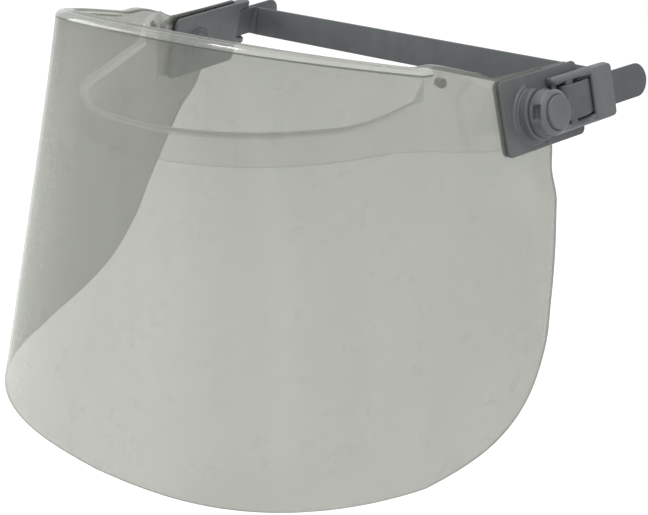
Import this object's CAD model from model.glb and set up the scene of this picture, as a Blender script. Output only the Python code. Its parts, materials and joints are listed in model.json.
"""Face shield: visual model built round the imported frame. Metres in Blender, millimetres in the helpers."""
import json
import math
import bpy
import numpy as np
import openvdb as vdb
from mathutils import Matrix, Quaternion, Vector


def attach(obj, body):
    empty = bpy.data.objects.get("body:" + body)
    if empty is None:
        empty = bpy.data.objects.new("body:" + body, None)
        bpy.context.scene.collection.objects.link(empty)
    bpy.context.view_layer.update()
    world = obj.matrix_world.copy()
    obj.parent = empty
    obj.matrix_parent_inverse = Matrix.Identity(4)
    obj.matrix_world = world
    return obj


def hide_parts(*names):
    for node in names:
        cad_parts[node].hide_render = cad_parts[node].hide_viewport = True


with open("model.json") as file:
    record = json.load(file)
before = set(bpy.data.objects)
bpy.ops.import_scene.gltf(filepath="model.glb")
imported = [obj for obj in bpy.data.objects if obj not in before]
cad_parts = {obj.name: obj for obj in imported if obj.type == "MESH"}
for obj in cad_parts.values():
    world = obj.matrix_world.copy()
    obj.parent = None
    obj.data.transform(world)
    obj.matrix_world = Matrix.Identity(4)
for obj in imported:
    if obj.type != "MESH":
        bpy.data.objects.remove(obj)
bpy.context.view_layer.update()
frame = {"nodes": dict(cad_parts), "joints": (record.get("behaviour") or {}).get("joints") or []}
MM = 0.001
ROOT, SHIELD = "strap_and_buckles", "visor_assembly"
KNOB = {"left": "left_knob_group", "right": "right_knob_group"}

# ------------------------------------------------------------------ bracket frame, from the record's knob joint
joint = {j["name"]: j for j in frame["joints"]}["left_knob_turn"]
ball = np.array(joint["pos_m"], float) / MM
nu = np.array(joint["axis"], float)
nu /= np.linalg.norm(nu)
st = -nu[1]
ct = math.sqrt(1 - st * st)
ss, cs = nu[2] / ct, nu[0] / ct
nv = np.array([cs * st, ct, ss * st])
nw = np.array([-ss, 0.0, cs])
BALL_U = 2.6
P0 = ball - BALL_U * nu
PT, VT, GT, GAP = 1.8, 1.2, 1.0, 0.1
U_VIS = -PT - GAP
U_GRD = U_VIS - VT - GAP
U_INN = U_GRD - GT - GAP
U_END = U_INN - PT
PV0, PW0, PL, PH, PR = -20.5, -16.4, 56.0, 34.5, 3.2
K0, KNOB_H, KNOB_R, CAP_R = 5.8, 8.0, 10.7, 7.7
TIP = 83.2
WM, ARM_W, LOOP0, LOOP1 = 0.9, 11.0, 38.0, 53.5
STRAP_W, STRAP_T, STRAP_Y = 16.0, 1.5, 60.0
SIDES = (("left", 1), ("right", -1))


def to_world(p, s):
    """Bracket coordinates (u, v, w) in mm to the row frame in metres."""
    p = np.atleast_2d(p)
    q = P0 + p[:, :1] * nu + p[:, 1:2] * nv + p[:, 2:3] * nw
    q[:, 0] *= s
    return q * MM


def mesh_object(name, verts, faces, smooth=True, flip=False):
    me = bpy.data.meshes.new(name)
    faces = [tuple(int(i) for i in (f[::-1] if flip else f)) for f in faces]
    me.from_pydata([tuple(map(float, v)) for v in verts], [], faces)
    me.validate(clean_customdata=True)
    me.update()
    if smooth:
        me.polygons.foreach_set("use_smooth", [True] * len(me.polygons))
    ob = bpy.data.objects.new(name, me)
    bpy.context.scene.collection.objects.link(ob)
    return ob


# ------------------------------------------------------------------ distance-field modelling for moulded pieces
def length(*a):
    return np.sqrt(sum(x * x for x in a))


def smin(a, b, k):
    h = np.clip(0.5 + 0.5 * (b - a) / k, 0, 1)
    return b + (a - b) * h - k * h * (1 - h)


def smax(a, b, k):
    return -smin(-a, -b, k)


def rrect(v, w, v0, w0, L, H, r):
    dv = np.abs(v - (v0 + L / 2)) - (L / 2 - r)
    dw = np.abs(w - (w0 + H / 2)) - (H / 2 - r)
    return length(np.maximum(dv, 0), np.maximum(dw, 0)) + np.minimum(np.maximum(dv, dw), 0) - r


def extrude(d2, u, u0, u1, e):
    du = np.abs(u - (u0 + u1) / 2) - (u1 - u0) / 2
    a, b = d2 + e, du + e
    return np.minimum(np.maximum(a, b), 0) + length(np.maximum(a, 0), np.maximum(b, 0)) - e


def disc(u, v, w, cv, cw, r, u0, u1, e):
    return extrude(length(v - cv, w - cw) - r, u, u0, u1, e)


def capsule(u, v, w, a, b, r):
    a, b = np.array(a, float), np.array(b, float)
    d = b - a
    t = ((u - a[0]) * d[0] + (v - a[1]) * d[1] + (w - a[2]) * d[2]) / d.dot(d)
    t = np.clip(t, 0, 1)
    return length(u - a[0] - t * d[0], v - a[1] - t * d[1], w - a[2] - t * d[2]) - r


def field_mesh(f, lo, hi, h):
    lo, hi = np.array(lo, float) - 3 * h, np.array(hi, float) + 3 * h
    n = np.ceil((hi - lo) / h).astype(int) + 1
    ax = [lo[i] + h * np.arange(n[i]) for i in range(3)]
    u, v, w = np.meshgrid(*ax, indexing="ij")
    d = f(u, v, w).astype(np.float32)
    g = vdb.FloatGrid(5.0)
    g.copyFromArray(np.clip(d, -3 * h, 3 * h))
    p, q = g.convertToQuads()
    return np.asarray(p, float) * h + lo, np.asarray(q)


_cache = {}


def moulded(name, key, f, lo, hi, h, body, node_list, mat):
    """The same bracket-frame shape on both sides, mirrored for the right."""
    if key not in _cache:
        _cache[key] = field_mesh(f, lo, hi, h)
    p, q = _cache[key]
    for side, s in SIDES:
        ob = mesh_object(f"{side}_{name}", to_world(p, s), q, flip=(s > 0))
        ob.data.materials.append(mat)
        sm = ob.modifiers.new("ease", "SMOOTH")
        sm.factor, sm.iterations = 0.5, 3
        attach(ob, body[side] if isinstance(body, dict) else body)
        for nd in node_list:
            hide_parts(f"{side}_{nd}")
    return True


# ------------------------------------------------------------------ materials
def new_mat(name):
    m = bpy.data.materials.new(name)
    m.use_nodes = True
    nt = m.node_tree
    nt.nodes.clear()
    return m, nt, nt.nodes, nt.links


def ramp(nodes, stops, interp="LINEAR"):
    r = nodes.new("ShaderNodeValToRGB")
    r.color_ramp.interpolation = interp
    el = r.color_ramp.elements
    el[0].position, el[0].color = stops[0][0], (*stops[0][1], 1)
    el[1].position, el[1].color = stops[-1][0], (*stops[-1][1], 1)
    for pos, c in stops[1:-1]:
        e = el.new(pos)
        e.color = (*c, 1)
    return r


def noise(nodes, links, coord, scale, detail=4, rough=0.55):
    n = nodes.new("ShaderNodeTexNoise")
    n.inputs["Scale"].default_value = scale
    n.inputs["Detail"].default_value = detail
    n.inputs["Roughness"].default_value = rough
    links.new(coord, n.inputs["Vector"])
    return n


def math_node(nodes, links, op, a, b):
    m = nodes.new("ShaderNodeMath")
    m.operation = op
    for i, x in enumerate((a, b)):
        if isinstance(x, (int, float)):
            m.inputs[i].default_value = x
        else:
            links.new(x, m.inputs[i])
    return m.outputs[0]


def moulded_material(name, base, vary=0.10, rough=(0.42, 0.58), grain=900, bump=0.12, edge=0.25, spec=0.45, scuff=0.5):
    """Satin moulded plastic or rubber: fine mould grain, cloudy colour, lighter worn edges, scuffs in the gloss."""
    m, nt, N, L = new_mat(name)
    out = N.new("ShaderNodeOutputMaterial")
    b = N.new("ShaderNodeBsdfPrincipled")
    L.new(b.outputs[0], out.inputs[0])
    co = N.new("ShaderNodeTexCoord").outputs["Object"]
    cloud = noise(N, L, co, 55, 5)
    lo = tuple(c * (1 - vary) for c in base)
    hi = tuple(min(1, c * (1 + vary)) for c in base)
    col = ramp(N, [(0.32, lo), (0.68, hi)])
    L.new(cloud.outputs["Fac"], col.inputs[0])
    fine = noise(N, L, co, grain, 2, 0.5)
    # worn edges
    geo = N.new("ShaderNodeNewGeometry")
    er = ramp(N, [(0.515, (0, 0, 0)), (0.60, (1, 1, 1))])
    L.new(geo.outputs["Pointiness"], er.inputs[0])
    wear = noise(N, L, co, 240, 4)
    ef = math_node(N, L, "MULTIPLY", er.outputs[0], math_node(N, L, "MULTIPLY", wear.outputs["Fac"], edge * 2))
    mix = N.new("ShaderNodeMix")
    mix.data_type = "RGBA"
    mix.inputs["B"].default_value = (*[min(1, c * 1.9 + 0.05) for c in base], 1)
    L.new(ef, mix.inputs["Factor"])
    L.new(col.outputs[0], mix.inputs["A"])
    L.new(mix.outputs["Result"], b.inputs["Base Color"])
    # roughness: soft scuffs
    sc = noise(N, L, co, 130, 6, 0.65)
    rr = ramp(N, [(0.35, (rough[0],) * 3), (0.35 + 0.4 * max(scuff, 0.1), (rough[1],) * 3)])
    L.new(sc.outputs["Fac"], rr.inputs[0])
    L.new(rr.outputs[0], b.inputs["Roughness"])
    b.inputs["Specular IOR Level"].default_value = spec
    bp = N.new("ShaderNodeBump")
    bp.inputs["Strength"].default_value = bump
    bp.inputs["Distance"].default_value = 0.0002
    L.new(fine.outputs["Fac"], bp.inputs["Height"])
    L.new(bp.outputs[0], b.inputs["Normal"])
    return m


def metal_material(name, base, rough=(0.22, 0.38), grain=1500):
    m, nt, N, L = new_mat(name)
    out = N.new("ShaderNodeOutputMaterial")
    b = N.new("ShaderNodeBsdfPrincipled")
    L.new(b.outputs[0], out.inputs[0])
    co = N.new("ShaderNodeTexCoord").outputs["Object"]
    cl = noise(N, L, co, 300, 5)
    col = ramp(N, [(0.3, tuple(c * 0.85 for c in base)), (0.7, base)])
    L.new(cl.outputs["Fac"], col.inputs[0])
    L.new(col.outputs[0], b.inputs["Base Color"])
    b.inputs["Metallic"].default_value = 1.0
    rr = ramp(N, [(0.3, (rough[0],) * 3), (0.7, (rough[1],) * 3)])
    L.new(noise(N, L, co, 700, 3).outputs["Fac"], rr.inputs[0])
    L.new(rr.outputs[0], b.inputs["Roughness"])
    bp = N.new("ShaderNodeBump")
    bp.inputs["Strength"].default_value = 0.1
    bp.inputs["Distance"].default_value = 0.0001
    L.new(noise(N, L, co, grain, 2).outputs["Fac"], bp.inputs["Height"])
    L.new(bp.outputs[0], b.inputs["Normal"])
    return m


def clear_material(name, tint, haze_colour, haze=(0.10, 0.16), gloss_rough=(0.05, 0.12), ior=1.5, glance=0.35, forward=0.4):
    """Tinted clear sheet: each face passes tinted light, scatters a little from fine scratches, and mirrors at a glance."""
    m, nt, N, L = new_mat(name)
    out = N.new("ShaderNodeOutputMaterial")
    co = N.new("ShaderNodeTexCoord").outputs["Object"]
    stretch = N.new("ShaderNodeMapping")
    stretch.inputs["Scale"].default_value = (1.0, 1.0, 0.06)
    L.new(co, stretch.inputs["Vector"])
    tr = N.new("ShaderNodeBsdfTransparent")
    cl = noise(N, L, stretch.outputs[0], 14, 3)
    tc = ramp(N, [(0.3, tuple(c * 0.985 for c in tint)), (0.7, tuple(min(1, c * 1.015) for c in tint))])
    L.new(cl.outputs["Fac"], tc.inputs[0])
    L.new(tc.outputs[0], tr.inputs["Color"])
    df = N.new("ShaderNodeBsdfPrincipled")
    hc = ramp(N, [(0.3, tuple(c * 0.96 for c in haze_colour)), (0.7, haze_colour)])
    L.new(noise(N, L, stretch.outputs[0], 30, 4).outputs["Fac"], hc.inputs[0])
    L.new(hc.outputs[0], df.inputs["Base Color"])
    df.inputs["Roughness"].default_value = 0.5
    df.inputs["Specular IOR Level"].default_value = 0.2
    # scatter: even haze with fine wiping scratches
    scr = noise(N, L, stretch.outputs[0], 42, 5, 0.6)
    hf = ramp(N, [(0.35, (haze[0],) * 3), (0.75, (haze[1],) * 3)])
    L.new(scr.outputs["Fac"], hf.inputs[0])
    mx = N.new("ShaderNodeMixShader")
    L.new(hf.outputs[0], mx.inputs[0])
    L.new(tr.outputs[0], mx.inputs[1])
    tl = N.new("ShaderNodeBsdfTranslucent")
    L.new(hc.outputs[0], tl.inputs["Color"])
    both = N.new("ShaderNodeMixShader")
    both.inputs[0].default_value = forward
    L.new(df.outputs[0], both.inputs[1])
    L.new(tl.outputs[0], both.inputs[2])
    L.new(both.outputs[0], mx.inputs[2])
    gl = N.new("ShaderNodeBsdfGlossy")
    gr = ramp(N, [(0.35, (gloss_rough[0],) * 3), (0.7, (gloss_rough[1],) * 3)])
    L.new(noise(N, L, co, 80, 5).outputs["Fac"], gr.inputs[0])
    L.new(gr.outputs[0], gl.inputs["Roughness"])
    gl.inputs["Color"].default_value = (0.95, 0.96, 0.95, 1)
    bp = N.new("ShaderNodeBump")
    bp.inputs["Strength"].default_value = 0.05
    bp.inputs["Distance"].default_value = 0.0005
    L.new(noise(N, L, stretch.outputs[0], 24, 2).outputs["Fac"], bp.inputs["Height"])
    L.new(bp.outputs[0], gl.inputs["Normal"])
    lw = N.new("ShaderNodeLayerWeight")
    lw.inputs["Blend"].default_value = 0.5
    fz = ((ior - 1) / (ior + 1)) ** 2
    p5 = math_node(N, L, "POWER", lw.outputs["Facing"], 5.0)
    fr = math_node(N, L, "ADD", math_node(N, L, "MULTIPLY", p5, glance), fz)
    m2 = N.new("ShaderNodeMixShader")
    L.new(fr, m2.inputs[0])
    L.new(mx.outputs[0], m2.inputs[1])
    L.new(gl.outputs[0], m2.inputs[2])
    L.new(m2.outputs[0], out.inputs[0])
    return m


PLASTIC = moulded_material("bracket_plastic", (0.082, 0.088, 0.090), rough=(0.42, 0.56), bump=0.10)
BUCKLE_M = moulded_material("buckle_plastic", (0.088, 0.094, 0.096), rough=(0.38, 0.52), bump=0.08)
KNOB_M = moulded_material("knob_plastic", (0.092, 0.098, 0.100), rough=(0.36, 0.50), bump=0.10)
RUBBER = moulded_material("strap_rubber", (0.072, 0.078, 0.081), vary=0.07, rough=(0.55, 0.72), grain=1400, bump=0.25, edge=0.45, spec=0.35)
RIVET_M = moulded_material("rivet_plastic", (0.20, 0.195, 0.175), rough=(0.4, 0.55))
STEEL_M = metal_material("bolt_steel", (0.62, 0.63, 0.65))
OXIDE_M = metal_material("bolt_black_oxide", (0.11, 0.115, 0.12), rough=(0.45, 0.6))
BRASS_M = metal_material("insert_brass", (0.72, 0.55, 0.26))
VISOR_M = clear_material("visor_sheet", (0.612, 0.619, 0.592), (0.440, 0.448, 0.402), haze=(0.18, 0.25), gloss_rough=(0.20, 0.30))
LIP_M = clear_material("visor_rolled_rim", (0.64, 0.65, 0.62), (0.80, 0.81, 0.76), haze=(0.17, 0.24), gloss_rough=(0.10, 0.18), glance=0.6)
EDGE_M = clear_material("sheet_edge", (0.42, 0.44, 0.39), (0.20, 0.21, 0.18), haze=(0.35, 0.50), gloss_rough=(0.1, 0.2), glance=0.2)
GUARD_M = clear_material("guard_sheet", (0.985, 0.985, 0.98), (0.85, 0.86, 0.82), haze=(0.02, 0.04), gloss_rough=(0.04, 0.1))
GUARD_ROLL_M = clear_material("guard_rolled_edge", (0.97, 0.975, 0.96), (0.98, 0.985, 0.965), haze=(0.70, 0.85), gloss_rough=(0.10, 0.18), ior=1.7, glance=0.5)
GUARD_EDGE_M = clear_material("guard_cut_edge", (0.50, 0.52, 0.47), (0.24, 0.25, 0.22), haze=(0.35, 0.50), gloss_rough=(0.1, 0.2), glance=0.2)


# ------------------------------------------------------------------ visor: same surface rules as the CAD, finer grid
def clamp01(t):
    return min(1.0, max(0.0, t))


def smooth(t):
    c = clamp01(t)
    return c * c * (3 - 2 * c)


def mix(a, b, t):
    return a + (b - a) * t


VIS_A, VIS_B, VIS_N, VIS_YC = 109.2, 157.0, 2.85, 9.3
RIM_F, BOT_F, LIP_W, LIP_R = 43.4, -150.0, 5.0, 3.0


def half_w(z):
    return VIS_A - 0.385 * (z - 0.4) - 0.00108 * (z - 0.4) ** 2


def reach(z):
    return VIS_B - 0.035 * (z - 0.4) + 0.00079 * (z - 0.4) ** 2


def plan_y(q, z):
    return VIS_YC - reach(z) * math.cos(math.pi / 2 * q) ** (2 / VIS_N) if q < 1 else VIS_YC + (q - 1) * 60


def plan_x(q, z):
    return half_w(z) * math.sin(math.pi / 2 * q) ** (2 / VIS_N) if q < 1 else half_w(z)


def plane_x(u, y, z):
    return P0[0] + (u - nu[1] * (y - P0[1]) - nu[2] * (z - P0[2])) / nu[0]


def flat(y, z):
    return 1 - smooth(math.sqrt(max(0, (-23 - y) / 41) ** 2 + max(0, (-24 - z) / 16) ** 2 + max(0, (z - 18) / 30) ** 2))


def wall(q, z):
    y, x = plan_y(q, z), plan_x(q, z)
    f = flat(y, z) if q > 0.35 else 0
    return np.array([mix(x, plane_x(U_VIS, y, z), f), y, z])


REAR = [(13, 13), (13, -3), (12.6, -18), (8, -32), (2, -47), (-4.5, -64), (-12, -82), (-20, -101), (-36.5, -121), (-61, -134), (-98, -142.5)]


def along(p, t):
    n = len(p) - 1
    s = clamp01(t) * n
    i = min(int(s), n - 1)
    a, b, c, d = (np.array(p[k], float) for k in (max(i - 1, 0), i, i + 1, min(i + 2, n)))
    t = s - i
    return 0.5 * (2 * b + (c - a) * t + (2 * a - 5 * b + 4 * c - d) * t * t + (3 * b - a - 3 * c + d) * t ** 3)


def q_of(y, z):
    return 1 + (y - VIS_YC) / 60 if y >= VIS_YC else math.acos(((VIS_YC - y) / reach(z)) ** (VIS_N / 2)) / (math.pi / 2)


def rim_z(y):
    return mix(RIM_F + 0.221 * (-147 - y) + 2.2 * smooth((y + 64) / 14), 15.6, smooth((y + 30) / 11))


def patch(r, s):
    e = along(REAR, r)
    q = q_of(e[0], e[1]) * s
    zf = mix(RIM_F, BOT_F, r)
    yf = VIS_YC - reach(zf)
    y0 = plan_y(q, mix(zf, e[1], s))
    k = clamp01((y0 - yf) / (e[0] - yf))
    z = mix(zf, e[1], k ** (1 - 0.55 * r)) + (rim_z(y0) - mix(RIM_F, REAR[0][1], k)) * (1 - r) ** 3
    return wall(q, z)


def side_pt(r, t):
    p = patch(r, abs(t))
    return p * np.array([-1, 1, 1]) if t < 0 else p


def normal(r, t, e=0.002):
    r0, r1, t0, t1 = max(r - e, 0), min(r + e, 1), max(t - e, -1), min(t + e, 1)
    n = np.cross(side_pt(r1, t) - side_pt(r0, t), side_pt(r, t1) - side_pt(r, t0))
    return n / np.linalg.norm(n)


def lip(k, t, d):
    """k: 0 at the wall's top to 5 at the lip's inner edge. d: depth below the outer skin."""
    p, n = side_pt(0, t), normal(0, t)
    i = -np.array([n[0], n[1], 0]) / math.hypot(n[0], n[1])
    f = smooth((-27 - p[1]) / 22)
    c = p + LIP_R * i
    a = min(k, 4) * math.radians(22.5)
    rr = LIP_R - d
    up = np.array([0, 0, 1.0])
    rolled = c + rr * (-math.cos(a) * i + math.sin(a) * up) + (LIP_W * (k - 4) * i if k > 4 else 0)
    straight = p - d * n + 0.35 * k * up + 0.35 * k * (nu[2] / nu[0]) * i
    return mix(straight, rolled, f)


def lip_f(p):
    return smooth((-27 - p[1]) / 22)


def visor_piece():
    nc, nr = 96, 64
    cols = [math.copysign(0.75 * abs(g) + 0.25 * g * g, g) for g in np.linspace(-1, 1, 2 * nc + 1)]
    ks = [5, 4.6, 4.2, 4, 3.4, 2.8, 2.2, 1.6, 1.1, 0.6]
    rows = list(np.linspace(0, 1, nr + 1))
    outer, inner, mid = [], [], []

    def row(kind, value, d):
        return [lip(value, t, d) if kind else side_pt(value, t) - (d * normal(value, t) if d else 0) for t in cols]

    plan = [(1, k) for k in ks] + [(0, r) for r in rows]
    sets = {d: [row(kind, v, d) for kind, v in plan] for d in (0.0, VT)}
    A, B = np.array(sets[0.0]), np.array(sets[VT])
    R, C = A.shape[:2]
    verts = [*A.reshape(-1, 3), *B.reshape(-1, 3)]
    off = R * C
    faces = []
    for i in range(R - 1):
        for j in range(C - 1):
            a = i * C + j
            faces.append((a, a + C, a + C + 1, a + 1))
            faces.append((off + a, off + a + 1, off + a + C + 1, off + a + C))

    # rounded edge all round: two rings between the skins, pushed out
    ring = [(0, j) for j in range(C)] + [(i, C - 1) for i in range(1, R)] + [(R - 1, j) for j in range(C - 2, -1, -1)] + [(i, 0) for i in range(R - 2, 0, -1)]

    def outdir(i, j):
        ii, jj = min(max(i, 1), R - 2), min(max(j, 1), C - 2)
        d = A[i, j] - A[ii, jj]
        return d / (np.linalg.norm(d) + 1e-9)

    first_edge_face = len(faces)
    loops = [[i * C + j for i, j in ring]]
    for frac in (0.25, 0.5, 0.75):
        bulge = 0.45 * math.sin(math.pi * frac)
        base = len(verts)
        for i, j in ring:
            verts.append(mix(A[i, j], B[i, j], frac) + bulge * outdir(i, j))
        loops.append(list(range(base, base + len(ring))))
    loops.append([off + i * C + j for i, j in ring])
    n = len(ring)
    for a, b in zip(loops, loops[1:]):
        for k in range(n):
            faces.append((a[k], a[(k + 1) % n], b[(k + 1) % n], b[k]))
    ob = mesh_object("visor_shell", np.array(verts) * MM, faces)
    ob.data.materials.append(VISOR_M)
    ob.data.materials.append(EDGE_M)
    ob.data.materials.append(LIP_M)
    for poly in ob.data.polygons[first_edge_face:]:
        poly.material_index = 1
    # the rolled rim catches light over the front; the upright strip inside the brackets doesn't
    for k, poly in enumerate(ob.data.polygons[:first_edge_face]):
        i, j = divmod(k // 2, C - 1)
        if lip_f(A[0, j]) > 0.5 and A[len(ks), j][1] < -58:
            poly.material_index = 2 if 2 <= i < len(ks) - 1 else 1 if i == len(ks) - 1 else 0
    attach(ob, SHIELD)
    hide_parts("visor")
    return ob


visor_piece()

# ------------------------------------------------------------------ brow guard: skirt, rolled top, side tabs
GD_A, GD_B, GD_SHELF, GD_N, GD_YC = 88.5, 113.0, 4.0, 2.2, -30.0


def gd_y(s):
    return GD_YC - GD_B * math.cos(math.pi / 2 * s / 0.8) ** (2 / GD_N) if s < 0.8 else GD_YC + (s - 0.8) / 0.2 * 41.2


def gd_x(s):
    return GD_A * math.sin(math.pi / 2 * s / 0.8) ** (2 / GD_N) if s < 0.8 else GD_A


def gd_pt(s, z, d):
    y = gd_y(s)
    f = smooth((y + 49) / 27)
    s0, s1 = max(s - 0.004, 0.0001), s + 0.004
    tx, ty = gd_x(s1) - gd_x(s0), gd_y(s1) - gd_y(s0)
    L = math.hypot(tx, ty)
    o = np.array([gd_x(s) - d * ty / L, y + d * tx / L])
    return np.array([mix(o[0], plane_x(U_GRD - d, o[1], z), f), o[1], z])


def gd_profile(y):
    zs = mix(4, 12, smooth((y + 95) / 55))
    ear = smooth((y + 58) / 9) if y < -46 else 1
    zt = mix(zs + 2.0, mix(24, 13.5, smooth((y + 40) / 18)), ear)
    zs = min(zs, zt - 0.8)
    zb = mix(-9, -13.5, smooth((y + 75) / 40))
    w = mix(GD_SHELF, GT + 0.02, smooth((y + 66) / 24))
    return [(zb, 0), (zt, 0), (zt, GT), (zs, GT + 0.01), (zs, w + 0.01), (zs - GT, w + 0.01), (zs - GT, GT + 0.01), (zb, GT)]


def rounded(poly, r, steps=3):
    """Corners of a closed outline eased to radius r or less."""
    out = []
    n = len(poly)
    P = [np.array(p, float) for p in poly]
    for i in range(n):
        a, b, c = P[i - 1], P[i], P[(i + 1) % n]
        la, lc = np.linalg.norm(a - b), np.linalg.norm(c - b)
        k = min(r, 0.42 * la, 0.42 * lc)
        p0, p1 = b + (a - b) * (k / max(la, 1e-9)), b + (c - b) * (k / max(lc, 1e-9))
        for j in range(steps + 1):
            t = j / steps
            out.append((1 - t) ** 2 * p0 + 2 * t * (1 - t) * b + t * t * p1)
    return out


def guard_piece():
    N = 150
    cols = np.linspace(-1, 1, 2 * N + 1)
    secs = []
    for t in cols:
        s = abs(t)
        pts = [gd_pt(s, z, d) for z, d in rounded(gd_profile(gd_y(s)), 0.55)]
        secs.append([p * np.array([-1, 1, 1]) if t < 0 else p for p in pts])
    secs = np.array(secs)
    M, n = secs.shape[:2]
    verts = secs.reshape(-1, 3)
    faces = []
    for i in range(M - 1):
        for j in range(n):
            a, b = i * n + j, i * n + (j + 1) % n
            faces.append((a, b, b + n, a + n))
    faces.append(tuple(range(n))[::-1])
    faces.append(tuple((M - 1) * n + j for j in range(n)))
    ob = mesh_object("brow_guard_shell", verts * MM, faces)
    for m in (GUARD_M, GUARD_ROLL_M, GUARD_EDGE_M):
        ob.data.materials.append(m)
    # four points to a corner: the shelf and rolled top are bright, the lower edge dark
    for i in range(M - 1):
        front = gd_y(abs(cols[i])) < -52
        for j in range(n):
            if j in (30, 31, 0, 1):
                ob.data.polygons[i * n + j].material_index = 2
            elif front and 3 < j < 25:
                ob.data.polygons[i * n + j].material_index = 1
    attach(ob, SHIELD)
    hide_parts("brow_guard")
    return ob


guard_piece()


# ------------------------------------------------------------------ bracket plates
def f_outer(u, v, w):
    d = extrude(rrect(v, w, PV0, PW0, PL, PH, PR), u, -PT, 0, 0.6)
    r = length(v, w)
    base_ = extrude(np.abs(r - 11.6) - 2.3, u, -0.5, 0.9, 0.35)
    wall_ = extrude(np.abs(r - 10.775) - 1.475, u, -0.5, 5.6, 0.6)
    ring = smin(base_, wall_, 0.35)
    # signed distance to the open sector's two radial walls, negative inside the sector
    a0, a1 = math.radians(-31), math.radians(103)
    e1 = v * math.sin(a0) - w * math.cos(a0)
    e2 = -(v * math.sin(a1) - w * math.cos(a1))
    ring = smax(ring, -np.maximum(e1, e2), 0.5)
    d = smin(d, ring, 0.5)
    d = smin(d, disc(u, v, w, 8.2, -13, 2.6, -1.0, 1.0, 0.35), 0.5)
    d = smax(d, -(r - 2.55), 0.2)
    return d


moulded("outer_plate_shell", "op", f_outer, (-PT, PV0, PW0), (5.6, PV0 + PL, PW0 + PH), 0.27, SHIELD, ["outer_plate"], PLASTIC)


def f_inner(u, v, w):
    d = extrude(rrect(v, w, PV0 + 2, PW0, PL - 2, PH, PR), u, U_END, U_INN, 0.55)
    boss = disc(u, v, w, 0, 0, 10.0, U_END - 0.9, U_INN - 0.5, 0.35)
    boss = smin(boss, disc(u, v, w, 0, 0, 7.6, U_END - 1.6, U_INN - 0.5, 0.35), 0.25)
    d = smin(d, boss, 0.4)
    r = length(v, w)
    d = smax(d, -extrude(np.abs(r - 8.75) - 0.35, u, U_END - 2, U_END - 0.45, 0.1), 0.2)
    d = smax(d, -disc(u, v, w, 0, 0, 5.25, U_END - 4, U_END - 0.4, 0.1), 0.3)
    d = smax(d, -(r - 2.6), 0.2)
    return d


moulded("inner_plate_shell", "ip", f_inner, (U_END - 1.7, PV0, PW0), (U_INN, PV0 + PL, PW0 + PH), 0.27, SHIELD, ["inner_plate"], PLASTIC)


# ------------------------------------------------------------------ knobs: scalloped barrel and domed cap
def f_knob(u, v, w):
    r = length(v, w)
    # barrel, then a cone up to the collar under the cap
    barrel = extrude(r - KNOB_R, u, K0, K0 + KNOB_H, 0.45)
    n = math.hypot(1.9, 2.0)
    cone = ((r - KNOB_R) * 1.9 + (u - (K0 + 6.1)) * 2.0) / n
    d = smax(barrel, cone, 0.5)
    for k in range(4):
        a = math.radians(80 + 90 * k)
        ca, sa = math.cos(a), math.sin(a)
        along_ = v * ca + w * sa
        across = -v * sa + w * ca
        # finger notch: flat floor, flared sides, closed at both ends
        side_ = (np.abs(across) - 2.9 - (along_ - 7.9) / 3.0) * 0.949
        sc = smax(smax(7.9 - along_, side_, 0.6), np.abs(u - (K0 + 4.0)) - 2.2, 0.5)
        d = smax(d, -sc, 0.35)
    d = smax(d, -disc(u, v, w, 0, 0, CAP_R + 0.25, K0 + KNOB_H - 0.35, K0 + KNOB_H + 2, 0.1), 0.15)
    d = smax(d, -disc(u, v, w, 0, 0, 4.1, K0 - 2, K0 + KNOB_H + 2, 0.1), 0.1)
    d = smax(d, -disc(u, v, w, 0, 0, 6.3, K0 - 2, K0 + 1.3, 0.1), 0.1)
    return d


moulded("knob_shell", "kn", f_knob, (K0, -11, -11), (K0 + KNOB_H, 11, 11), 0.2, KNOB, ["knob"], KNOB_M)


def f_cap(u, v, w):
    r = length(v, w)
    d = disc(u, v, w, 0, 0, CAP_R, K0 + KNOB_H - 0.75, K0 + KNOB_H + 1.5, 0.45)
    stem = disc(u, v, w, 0, 0, CAP_R - 1.4, K0 + KNOB_H - 1.1, K0 + KNOB_H, 0.1)
    d = np.minimum(d, stem)
    # a very shallow dish in the face
    d = smax(d, -(length(u - (K0 + KNOB_H + 1.5 + 80), v, w) - 80.22), 0.3)
    return d


moulded("knob_cap_shell", "kc", f_cap, (K0 + KNOB_H - 1.2, -8.4, -8.4), (K0 + KNOB_H + 1.6, 8.4, 8.4), 0.16, KNOB, ["knob_cap"], KNOB_M)


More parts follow.
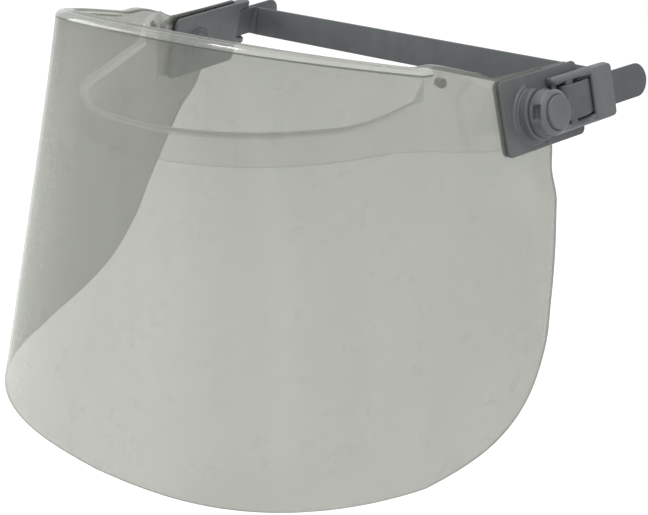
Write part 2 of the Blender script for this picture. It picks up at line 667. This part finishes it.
# ------------------------------------------------------------------ strap buckle
def f_buckle(u, v, w):
    d = None
    for k in (-1, 1):
        wc = WM + k * ARM_W
        arm = extrude(rrect(v, w, 11.2, wc - 1.9, LOOP1 - 12.7, 3.8, 1.2), u, 0.45, 3.6, 0.6)
        rod = capsule(u, v, w, (3.3, 13, wc), (3.3, LOOP1 - 2.5, wc), 2.0)
        a = smin(arm, rod, 0.7)
        d = a if d is None else np.minimum(d, a)
    cross = extrude(rrect(v, w, 12.9, WM - ARM_W - 1.4, 3.5, 2 * ARM_W + 2.8, 0.6), u, 0.45, 2.0, 0.35)
    d = smin(d, cross, 0.5)
    neck = extrude(rrect(v, w, 6.2, -4.4, 9.5, 8.8, 0.6), u, 0.45, 1.9, 0.35)
    d = smin(d, neck, 0.4)
    for k in (-1, 1):
        web = extrude(rrect(v, w, 30, WM + k * 9.05 - 0.7, 17, 1.4, 0.3), u, 0.45, 2.2, 0.25)
        d = smin(d, web, 0.3)
    bar = extrude(rrect(v, w, 20, WM - ARM_W, 5, 2 * ARM_W, 0.9), u, 2.6, 5.0, 0.8)
    d = smin(d, bar, 0.5)
    loop = extrude(rrect(v, w, LOOP0, WM - ARM_W - 1.4, LOOP1 - LOOP0, 2 * ARM_W + 2.8, 2.2), u, 4.15, 6.1, 0.75)
    d = smin(d, loop, 0.9)
    # eye: disc leaning to the middle of the swing, in world axes through the ball
    x = P0[0] + u * nu[0] + v * nv[0] + w * nw[0] - ball[0]
    y = P0[1] + u * nu[1] + v * nv[1] + w * nw[1]
    z = P0[2] + u * nu[2] + v * nv[2] + w * nw[2]
    en = np.array([1, 0.065, 0.235])
    en /= np.linalg.norm(en)
    h = x * en[0] + y * en[1] + z * en[2]
    rr = np.sqrt(np.maximum(x * x + y * y + z * z - h * h, 0))
    a, b = rr - 6.8 + 0.3, np.abs(h) - 0.9 + 0.3
    eye = np.minimum(np.maximum(a, b), 0) + length(np.maximum(a, 0), np.maximum(b, 0)) - 0.3
    d = smin(d, eye, 0.35)
    d = smax(d, -(length(y, z) - 4.08), 0.12)
    return d


moulded("buckle_shell", "bk", f_buckle, (-0.6, -7.2, -13.5), (6.2, LOOP1, 15.0), 0.24, ROOT, ["buckle"], BUCKLE_M)


# ------------------------------------------------------------------ strap: one flat band, threaded, bent and crossing behind
LOOPP = [(64.5, 1.6), (56, 1.35), (40, 1.3), (26, 1.3), (19.4, 1.35), (17.9, 2.2), (17.6, 3.9), (18.8, 5.6), (21, 6.3), (25, 6.5), (30, 6.0), (34.5, 4.6), (38.5, 3.15), (44, 2.95), (56, 3.0), (83.2, 3.1)]


def catmull(pts, per):
    P = [np.array(p, float) for p in pts]
    out = []
    for i in range(len(P) - 1):
        a, b, c, d = P[max(i - 1, 0)], P[i], P[i + 1], P[min(i + 2, len(P) - 1)]
        for k in range(per):
            t = k / per
            out.append(0.5 * (2 * b + (c - a) * t + (2 * a - 5 * b + 4 * c - d) * t * t + (3 * b - a - 3 * c + d) * t ** 3))
    out.append(P[-1])
    return out


def band_section(half, t, e=0.45, n=4):
    """Flat section with rounded long edges: points (across, through)."""
    pts = []
    for cx, cy, a0 in ((half - e, t / 2 - e, 0), (-half + e, t / 2 - e, 90), (-half + e, -t / 2 + e, 180), (half - e, -t / 2 + e, 270)):
        for k in range(n + 1):
            a = math.radians(a0 + 90 * k / n)
            pts.append((cx + e * math.cos(a), cy + e * math.sin(a)))
    return pts


def strap_piece():
    # centre line for the left half, in world mm, from the tail's tip round to the middle of the back
    dense = np.array(catmull(LOOPP, 60))[::-1]
    seg = np.linalg.norm(np.diff(dense, axis=0), axis=1)
    arc = np.concatenate([[0], np.cumsum(seg)])
    total = arc[-1]
    # close samples round the tail's rounded tip, even ones after it
    h = STRAP_W / 2
    at = [h * (1 - math.cos(math.radians(a))) for a in np.linspace(4, 90, 20)] + list(np.arange(h + 0.7, total, 0.7))
    path, wide, across = [], [], []
    for d_ in at:
        v, u = np.interp(d_, arc, dense[:, 0]), np.interp(d_, arc, dense[:, 1])
        path.append(P0 + u * nu + v * nv + WM * nw)
        across.append(nw.copy())
        wide.append(h if d_ >= h else math.sqrt(h * h - (h - d_) ** 2))
    # bend round to the cross run: straight out of the buckle, a quarter turn, then along X
    end = path[-1]
    zc = 1.0
    r = 3.2
    cx = end[0] - r
    n0 = len(path)
    keep = [i for i, p in enumerate(path) if not (i > n0 - 25 and p[1] > STRAP_Y - r - 0.4)]
    path, wide, across = [path[i] for i in keep], [wide[i] for i in keep], [across[i] for i in keep]
    end = path[-1]
    cx, z0 = end[0] - r, end[2]
    for k in range(1, 17):
        a = math.radians(90 * k / 16)
        f = smooth(k / 16)
        path.append(np.array([cx + r * math.cos(a), mix(end[1], STRAP_Y - r, min(1, k / 4)) + r * math.sin(a), mix(z0, zc, f)]))
        ac = mix(nw, np.array([0, 0, 1.0]), f)
        across.append(ac / np.linalg.norm(ac))
        wide.append(STRAP_W / 2)
    last = path[-1]
    steps = 40
    for k in range(1, steps + 1):
        x = last[0] * (1 - k / steps)
        path.append(np.array([x, last[1], zc]))
        across.append(np.array([0, 0, 1.0]))
        wide.append(STRAP_W / 2)
    half = len(path)
    mir = np.array([-1, 1, 1])
    path = path + [p * mir for p in path[-2::-1]]
    across = across + [a * mir for a in across[half - 2::-1]]
    wide = wide + wide[half - 2::-1]
    path, across = np.array(path), np.array(across)
    tang = np.gradient(path, axis=0)
    tang /= np.linalg.norm(tang, axis=1)[:, None]
    verts, faces = [], []
    n = len(band_section(8, STRAP_T))
    for p, a, t, h in zip(path, across, tang, wide):
        a = a - t * a.dot(t)
        a /= np.linalg.norm(a)
        th = np.cross(t, a)
        for ca, ct_ in band_section(h, STRAP_T - 0.1, e=min(0.45, h * 0.5)):
            verts.append(p + a * ca + th * ct_)
    M = len(path)
    for i in range(M - 1):
        for j in range(n):
            faces.append((i * n + j, i * n + (j + 1) % n, (i + 1) * n + (j + 1) % n, (i + 1) * n + j))
    faces.append(tuple(range(n))[::-1])
    faces.append(tuple((M - 1) * n + j for j in range(n)))
    ob = mesh_object("strap_band", np.array(verts) * MM, faces)
    ob.data.materials.append(RUBBER)
    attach(ob, ROOT)
    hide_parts("strap")
    return ob


strap_piece()

# ------------------------------------------------------------------ carried-over CAD nodes: finer materials
for nd, o in frame["nodes"].items():
    mat = None
    if "bolt" in nd or "washer" in nd or "pins" in nd:
        mat = STEEL_M if "washer" in nd else OXIDE_M
    elif "insert" in nd:
        mat = BRASS_M
    elif "rivets" in nd:
        mat = RIVET_M
    if mat:
        if not o.material_slots:
            o.data.materials.append(mat)
        for sl in o.material_slots:
            sl.material = mat

# ------------------------------------------------------------------ stage, lights, camera
FLOOR_Z = -0.34
me = bpy.data.meshes.new("floor")
me.from_pydata([(-9, -9, FLOOR_Z), (9, -9, FLOOR_Z), (9, 9, FLOOR_Z), (-9, 9, FLOOR_Z)], [], [(0, 1, 2, 3)])
floor = bpy.data.objects.new("floor", me)
bpy.context.scene.collection.objects.link(floor)
fm, nt, N, L = new_mat("floor_paint")
out = N.new("ShaderNodeOutputMaterial")
fb = N.new("ShaderNodeBsdfPrincipled")
fco = N.new("ShaderNodeTexCoord").outputs["Object"]
fc = ramp(N, [(0.3, (0.870, 0.870, 0.870)), (0.7, (0.888, 0.888, 0.888))])
L.new(noise(N, L, fco, 3, 2).outputs["Fac"], fc.inputs[0])
L.new(fc.outputs[0], fb.inputs["Base Color"])
fb.inputs["Roughness"].default_value = 0.8
L.new(fb.outputs[0], out.inputs[0])
me.materials.append(fm)

world = bpy.data.worlds.new("studio")
bpy.context.scene.world = world
world.use_nodes = True
bg = world.node_tree.nodes.get("Background") or world.node_tree.nodes.new("ShaderNodeBackground")
bg.inputs["Color"].default_value = (0.98, 0.985, 1.0, 1)
bg.inputs["Strength"].default_value = 1.0


def area(name, loc, target, size, power, colour=(1, 1, 1), size_y=None):
    ld = bpy.data.lights.new(name, "AREA")
    ld.energy, ld.color = power, colour
    ld.shape = "RECTANGLE"
    ld.size, ld.size_y = size, size_y or size
    o = bpy.data.objects.new(name, ld)
    bpy.context.scene.collection.objects.link(o)
    o.location = loc
    o.rotation_mode = "QUATERNION"
    o.rotation_quaternion = (Vector(target) - Vector(loc)).to_track_quat("-Z", "Y")
    return o


area("key", (-1.7, -0.9, 0.5), (0, -0.05, -0.03), 1.2, 26, size_y=1.2)
area("top", (0.15, -0.45, 1.9), (0, -0.05, 0), 0.5, 23)
area("strip", (0.80, -1.62, 0.42), (0.05, -0.1, -0.05), 0.45, 0.9, size_y=1.45)

cam = bpy.data.objects.new("camera", bpy.data.cameras.new("camera"))
bpy.context.scene.collection.objects.link(cam)
cam.data.sensor_width = 36.0
cam.data.lens = 78.88
cam.data.clip_start, cam.data.clip_end = 0.01, 60
ROLL = 0.45
CAM = Vector((0.43884, -0.53103, 0.16717))
look = Vector((-0.6052, 0.7116, -0.3568)).normalized()
cam.location = CAM
cam.rotation_mode = "QUATERNION"
cam.rotation_quaternion = look.to_track_quat("-Z", "Y") @ Quaternion((0, 0, 1), math.radians(ROLL))
cam.data.shift_x, cam.data.shift_y = 0.0019, -0.006
bpy.context.scene.camera = cam

sc = bpy.context.scene
sc.view_settings.view_transform = "Standard"
if hasattr(sc, "cycles"):
    sc.cycles.transparent_max_bounces = 32
